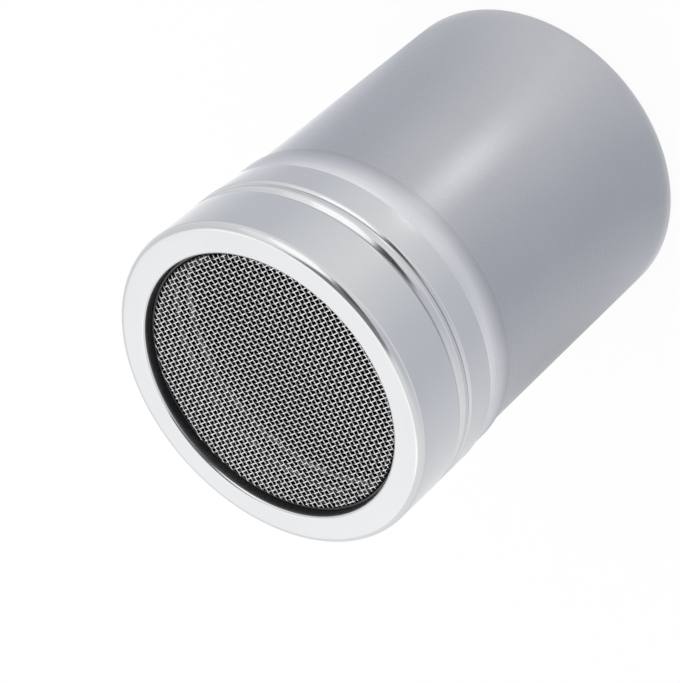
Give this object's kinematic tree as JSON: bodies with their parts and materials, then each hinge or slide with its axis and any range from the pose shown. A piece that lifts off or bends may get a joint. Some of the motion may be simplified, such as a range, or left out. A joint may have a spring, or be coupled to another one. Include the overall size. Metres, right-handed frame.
{
  "type": "spice shaker",
  "caption": "Handheld steel powder shaker: straight canister, shouldered screw neck, and a beaded screw lid holding a fine woven wire screen.",
  "frame": {"origin": "middle of the base, on the table", "axes": "+Z along the canister's axis, from the base to the screen; the screen's upper wires run along X"},
  "size_m": [0.07, 0.07, 0.094],
  "materials": {
    "satin_steel": "satin",
    "polished_steel": "polished",
    "wire_steel": "bright drawn wire"
  },
  "bodies": {
    "canister": {"canister_body": "satin_steel", "neck_collar": "satin_steel"},
    "screen_ring": {"screen_binding_ring": "polished_steel"},
    "lid": {"lid_shell": "polished_steel", "lid_thread_sleeve": "polished_steel", "screen_warp_wires": "wire_steel", "screen_weft_wires": "wire_steel"}
  },
  "joints": [
    {"name": "lid_rise", "type": "slide", "parent": "canister", "child": "screen_ring", "axis": [0, 0, 1], "range_m": [0, 0.024]},
    {"name": "lid_turn", "type": "hinge", "parent": "screen_ring", "child": "lid", "pos_m": [0, 0, 0.08], "axis": [0, 0, 1], "range_deg": [0, 2160]}
  ],
  "couplings": [
    {"joint": "lid_rise", "follows": "lid_turn", "m_per_rad": 0.00063662}
  ]
}
